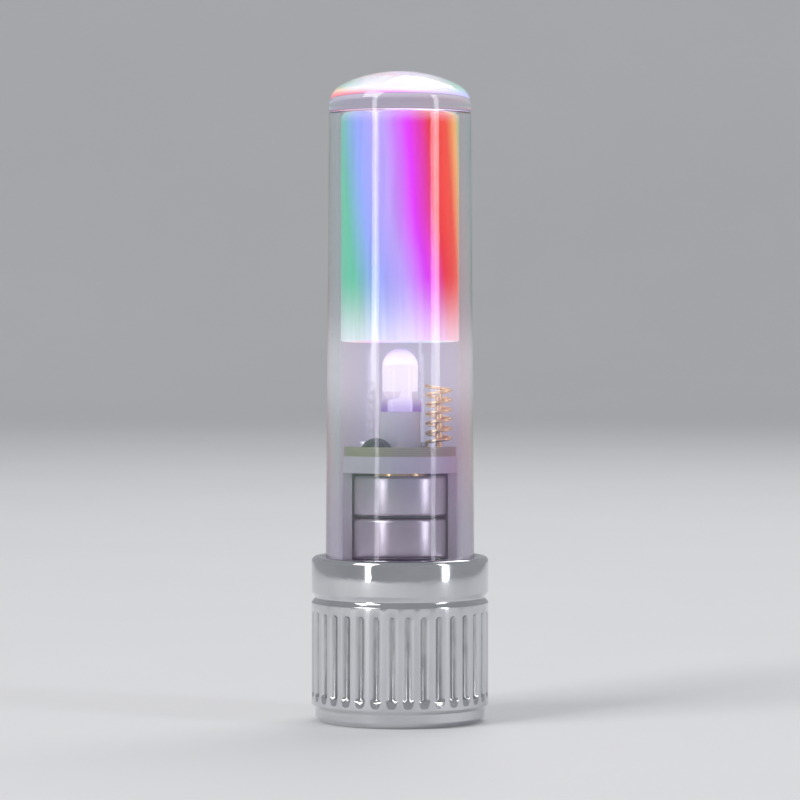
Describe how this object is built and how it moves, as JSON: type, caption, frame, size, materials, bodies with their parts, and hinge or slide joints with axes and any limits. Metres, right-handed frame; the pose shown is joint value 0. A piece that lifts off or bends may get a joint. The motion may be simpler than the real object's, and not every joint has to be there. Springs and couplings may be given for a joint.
{
  "type": "valve cap light",
  "caption": "Battery light that screws on a tyre valve in place of its cap: a fluted plated base with a threaded socket and a long clear lens over its cells, board and lamp.",
  "frame": {"origin": "middle of the base's bottom face, at the mouth of the valve's socket", "axes": "+Z along the light's axis from the valve to the lens's tip; -Y is the open side of the cell cage"},
  "size_m": [0.015, 0.015, 0.055],
  "materials": {
    "plated_base": "bright chrome plating over moulded plastic",
    "brass": "turned brass",
    "black_rubber": "smooth black rubber",
    "clear_lens": "clear polycarbonate, lit from within",
    "frosted_guide": "frosted acrylic, lit from below",
    "white_carrier": "moulded white plastic",
    "nickel_cell": "nickel-plated steel",
    "grey_gasket": "moulded nylon",
    "gold_contact": "gold-plated spring bronze",
    "green_board": "glass-epoxy laminate under green resist",
    "solder": "bright solder",
    "black_epoxy": "black epoxy drop",
    "black_chip": "glazed ceramic chip",
    "tan_chip": "fired ceramic chip",
    "clear_epoxy": "clear cast epoxy, lit from within",
    "tinned_steel": "tinned steel",
    "lit_die": "lit semiconductor"
  },
  "bodies": {
    "base": {"base_shell": "plated_base", "valve_insert": "brass", "valve_seal": "black_rubber", "cell_carrier": "white_carrier", "negative_strap": "gold_contact", "negative_spring": "gold_contact", "cell_1": "nickel_cell", "cell_2": "nickel_cell", "cell_3": "nickel_cell", "cell_gaskets": "grey_gasket", "positive_contact": "gold_contact", "circuit_board": "green_board", "solder_joints": "solder", "controller_blob": "black_epoxy", "chip_resistors": "black_chip", "chip_capacitor": "tan_chip", "led_spacer": "white_carrier", "led_leads": "tinned_steel", "led_dies": "lit_die", "led_body": "clear_epoxy", "motion_pin": "gold_contact"},
    "lens_seal": {"lens_seal": "black_rubber"},
    "lens": {"lens": "clear_lens", "light_guide": "frosted_guide"},
    "motion_spring": {"motion_spring": "gold_contact"}
  },
  "joints": [
    {"name": "lens_lift", "type": "slide", "parent": "base", "child": "lens_seal", "axis": [0, 0, 1], "range_m": [0, 0.003]},
    {"name": "lens_turn", "type": "hinge", "parent": "lens_seal", "child": "lens", "pos_m": [0, 0, 0.012], "axis": [0, 0, 1], "range_deg": [0, 1080.5]},
    {"name": "motion_spring_sway", "type": "hinge", "parent": "base", "child": "motion_spring", "pos_m": [0.0033, 0, 0.023], "axis": [1, 0, 0], "range_deg": [-5, 5], "stiffness_Nm_per_rad": 0.000007}
  ],
  "couplings": [
    {"joint": "lens_turn", "follows": "lens_lift", "rad_per_m": 6283.2}
  ]
}
